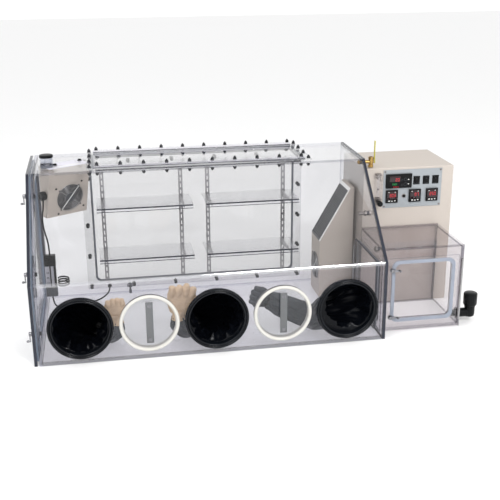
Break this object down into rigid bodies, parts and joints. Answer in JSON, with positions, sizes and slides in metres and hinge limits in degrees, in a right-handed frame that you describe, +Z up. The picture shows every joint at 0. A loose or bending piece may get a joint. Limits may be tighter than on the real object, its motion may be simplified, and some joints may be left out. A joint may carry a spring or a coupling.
{
  "type": "laboratory glove box",
  "caption": "Clear acrylic glove box chamber with glove ports, shelves, a bolted roof hatch, an end door, a side airlock and a beige control box.",
  "frame": {"origin": "middle of the underside of the chamber's floor", "axes": "+X towards the airlock end, +Y away from the operator, +Z up"},
  "size_m": [1.608, 0.6415, 0.638],
  "materials": {
    "acrylic": "polished clear sheet",
    "clear_plastic": "clear moulded plastic",
    "port_rubber": "black rubber",
    "latex": "natural latex, matt",
    "white_plastic": "white PVC",
    "stainless": "brushed stainless",
    "chrome_fastener": "polished",
    "grey_handle": "grey bar",
    "beige_paint": "textured beige enamel",
    "grille_grey": "dark grey mesh",
    "black_plastic": "black",
    "cable_black": "PVC sheath",
    "blue_gasket": "blue-grey sponge rubber",
    "cover_gasket": "grey rubber cord",
    "aluminium_panel": "brushed anodised",
    "brass": "machined",
    "yellow_paint": "dipped vinyl",
    "nickel": "dull nickel",
    "grey_plastic": "grey moulded"
  },
  "bodies": {
    "chamber": {"airlock_shell": "acrylic", "cable_glands": "black_plastic", "chamber_floor": "acrylic", "circulation_grille": "grille_grey", "circulation_unit": "beige_paint", "control_box": "beige_paint", "control_panel": "aluminium_panel", "cover_clips": "clear_plastic", "cover_fasteners": "chrome_fastener", "cover_gaskets": "cover_gasket", "cover_port_rings": "white_plastic", "door_gaskets": "blue_gasket", "elbow_fitting": "black_plastic", "fan_box": "beige_paint", "fan_guards": "chrome_fastener", "front_window": "acrylic", "glove_port_rings": "port_rubber", "hatch_lid": "acrylic", "hinges": "stainless", "latex_gloves": "latex", "lead_coil": "cable_black", "left_wall": "acrylic", "meters": "black_plastic", "outlet_block": "grey_plastic", "power_leads": "cable_black", "rear_cover": "acrylic", "rear_wall": "acrylic", "right_wall": "acrylic", "roof_panel": "acrylic", "rotameter": "clear_plastic", "shelf_supports": "stainless", "shelves": "acrylic", "sleeve_centre": "port_rubber", "sleeve_left": "port_rubber", "sleeve_right": "port_rubber", "valve_body": "brass", "vent_tube": "clear_plastic", "wall_fittings": "nickel"},
    "access_door": {"access_door": "acrylic"},
    "door_latch_1": {"door_latch_1": "chrome_fastener"},
    "door_latch_2": {"door_latch_2": "chrome_fastener"},
    "door_latch_3": {"door_latch_3": "chrome_fastener"},
    "airlock_door": {"airlock_door": "acrylic"},
    "airlock_latch_1": {"airlock_latch_1": "chrome_fastener"},
    "airlock_latch_2": {"airlock_latch_2": "chrome_fastener"},
    "inner_door": {"inner_door": "acrylic"},
    "cover_left": {"cover_disc_left": "acrylic", "cover_handle_left": "grey_handle"},
    "cover_right": {"cover_disc_right": "acrylic", "cover_handle_right": "grey_handle"},
    "tube_cap": {"tube_cap": "black_plastic"},
    "valve_lever": {"valve_lever": "yellow_paint"},
    "stopcock_lever": {"stopcock_lever": "grey_plastic"},
    "rotameter_knob": {"rotameter_knob": "black_plastic"},
    "rocker_1": {"rocker_1": "black_plastic"},
    "rocker_2": {"rocker_2": "black_plastic"},
    "rocker_3": {"rocker_3": "black_plastic"},
    "panel_button": {"panel_button": "black_plastic"},
    "fan_rotor_left": {"fan_rotor_left": "black_plastic"},
    "fan_rotor_right": {"fan_rotor_right": "black_plastic"}
  },
  "joints": [
    {"name": "access_door_hinge", "type": "hinge", "parent": "chamber", "child": "access_door", "pos_m": [-0.609, 0.3085, 0.29], "axis": [0, 0, -1], "range_deg": [0, 110]},
    {"name": "door_latch_1_turn", "type": "hinge", "parent": "access_door", "child": "door_latch_1", "pos_m": [-0.613, -0.0545, 0.519], "axis": [-1, 0, 0], "range_deg": [0, 90]},
    {"name": "door_latch_2_turn", "type": "hinge", "parent": "access_door", "child": "door_latch_2", "pos_m": [-0.613, -0.2605, 0.312], "axis": [-1, 0, 0], "range_deg": [0, 90]},
    {"name": "door_latch_3_turn", "type": "hinge", "parent": "access_door", "child": "door_latch_3", "pos_m": [-0.613, -0.2885, 0.114], "axis": [-1, 0, 0], "range_deg": [0, 90]},
    {"name": "airlock_door_hinge", "type": "hinge", "parent": "chamber", "child": "airlock_door", "pos_m": [0.888, -0.2575, 0.15], "axis": [0, 0, 1], "range_deg": [0, 110]},
    {"name": "airlock_latch_1_turn", "type": "hinge", "parent": "airlock_door", "child": "airlock_latch_1", "pos_m": [0.627, -0.2595, 0.24], "axis": [0, -1, 0], "range_deg": [0, 90]},
    {"name": "airlock_latch_2_turn", "type": "hinge", "parent": "airlock_door", "child": "airlock_latch_2", "pos_m": [0.627, -0.2595, 0.062], "axis": [0, -1, 0], "range_deg": [0, 90]},
    {"name": "inner_door_hinge", "type": "hinge", "parent": "chamber", "child": "inner_door", "pos_m": [0.575, 0.0315, 0.14], "axis": [0, 0, -1], "range_deg": [0, 90]},
    {"name": "cover_left_pull", "type": "slide", "parent": "chamber", "child": "cover_left", "axis": [0, -1, 0], "range_m": [0, 0.08]},
    {"name": "cover_right_pull", "type": "slide", "parent": "chamber", "child": "cover_right", "axis": [0, -1, 0], "range_m": [0, 0.08]},
    {"name": "tube_cap_lift", "type": "slide", "parent": "chamber", "child": "tube_cap", "axis": [0, 0, 1], "range_m": [0, 0.03]},
    {"name": "valve_lever_turn", "type": "hinge", "parent": "chamber", "child": "valve_lever", "pos_m": [0.63, 0.0425, 0.56], "axis": [1, 0, 0], "range_deg": [0, 90]},
    {"name": "stopcock_lever_turn", "type": "hinge", "parent": "chamber", "child": "stopcock_lever", "pos_m": [-0.27, 0.2635, 0.044], "axis": [0, 1, 0], "range_deg": [0, 90]},
    {"name": "rotameter_knob_turn", "type": "hinge", "parent": "chamber", "child": "rotameter_knob", "pos_m": [0.653, -0.0075, 0.412], "axis": [0, 1, 0], "range_deg": [0, 270]},
    {"name": "rocker_1_tilt", "type": "hinge", "parent": "chamber", "child": "rocker_1", "pos_m": [0.804, 0.0215, 0.486], "axis": [1, 0, 0], "range_deg": [-5, 5]},
    {"name": "rocker_2_tilt", "type": "hinge", "parent": "chamber", "child": "rocker_2", "pos_m": [0.841, 0.0215, 0.486], "axis": [1, 0, 0], "range_deg": [-5, 5]},
    {"name": "rocker_3_tilt", "type": "hinge", "parent": "chamber", "child": "rocker_3", "pos_m": [0.878, 0.0215, 0.486], "axis": [1, 0, 0], "range_deg": [-5, 5]},
    {"name": "panel_button_press", "type": "slide", "parent": "chamber", "child": "panel_button", "axis": [0, 1, 0], "range_m": [0, 0.003], "stiffness_N_per_m": 300},
    {"name": "fan_rotor_left_spin", "type": "hinge", "parent": "chamber", "child": "fan_rotor_left", "pos_m": [-0.48047, 0.17914, 0.44955], "axis": [0.5012, -0.8341, -0.2305], "continuous": true},
    {"name": "fan_rotor_right_spin", "type": "hinge", "parent": "chamber", "child": "fan_rotor_right", "pos_m": [0.469, 0.1625, 0.124], "axis": [-1, 0, 0], "continuous": true}
  ]
}
